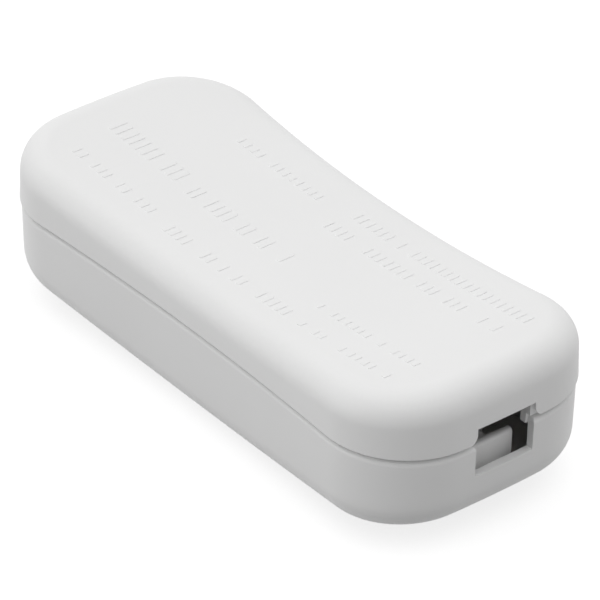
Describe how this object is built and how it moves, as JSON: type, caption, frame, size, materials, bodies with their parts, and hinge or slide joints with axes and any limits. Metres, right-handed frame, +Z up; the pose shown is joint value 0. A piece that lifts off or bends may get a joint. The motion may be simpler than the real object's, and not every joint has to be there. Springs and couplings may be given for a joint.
{
  "type": "inline cord switch",
  "caption": "Inline cord switch: a waisted white housing with a slightly dished top, a flat cord entry in each end and a see-saw rocker in a shallow well underneath.",
  "frame": {"origin": "on the rest plane, which is the flat bezel round the rocker, under the middle of the housing", "axes": "+X along the cord, +Y across, +Z up through the dished label face; the rocker faces -Z"},
  "size_m": [0.0698, 0.0302, 0.0188],
  "materials": {
    "housing": "satin white moulding",
    "rocker": "satin white moulding",
    "plunger": "smooth natural plastic",
    "spring": "drawn wire",
    "strip": "pressed strip",
    "contact": "bright silver",
    "terminal": "machined",
    "screw": "zinc plated"
  },
  "bodies": {
    "housing": {"back_shell": "housing", "front_shell": "housing", "fixed_contact_left": "contact", "fixed_contact_right": "contact", "fulcrum_plate_left": "strip", "fulcrum_plate_right": "strip", "contact_plate_left": "strip", "contact_plate_right": "strip", "terminal_near_left": "terminal", "terminal_near_right": "terminal", "terminal_far_left": "terminal", "terminal_far_right": "terminal", "screw_near_left": "screw", "screw_near_right": "screw", "screw_far_left": "screw", "screw_far_right": "screw"},
    "rocker": {"rocker": "rocker", "plunger_spring_left": "spring", "plunger_spring_right": "spring"},
    "plunger_left": {"plunger_left": "plunger"},
    "plunger_right": {"plunger_right": "plunger"},
    "arm_left": {"contact_arm_left": "strip", "moving_contact_left": "contact"},
    "arm_right": {"contact_arm_right": "strip", "moving_contact_right": "contact"}
  },
  "joints": [
    {"name": "rocker_tilt", "type": "hinge", "parent": "housing", "child": "rocker", "pos_m": [0, 0, 0.00475], "axis": [0, 1, 0], "range_deg": [0, 16]},
    {"name": "plunger_left_slide", "type": "slide", "parent": "rocker", "child": "plunger_left", "axis": [0.1392, 0, -0.9903], "range_m": [0, 0.0006], "stiffness_N_per_m": 200, "springref_m": -0.003, "deforming": ["plunger_spring_left"]},
    {"name": "plunger_right_slide", "type": "slide", "parent": "rocker", "child": "plunger_right", "axis": [0.1392, 0, -0.9903], "range_m": [0, 0.0006], "stiffness_N_per_m": 200, "springref_m": -0.003, "deforming": ["plunger_spring_right"]},
    {"name": "arm_left_tilt", "type": "hinge", "parent": "housing", "child": "arm_left", "pos_m": [0, 0.0033, 0.0125], "axis": [0, 1, 0], "range_deg": [-16, 0]},
    {"name": "arm_right_tilt", "type": "hinge", "parent": "housing", "child": "arm_right", "pos_m": [0, -0.0033, 0.0125], "axis": [0, 1, 0], "range_deg": [-16, 0]}
  ],
  "couplings": [
    {"joint": "arm_left_tilt", "follows": "rocker_tilt", "ratio": -1},
    {"joint": "arm_right_tilt", "follows": "rocker_tilt", "ratio": -1}
  ]
}
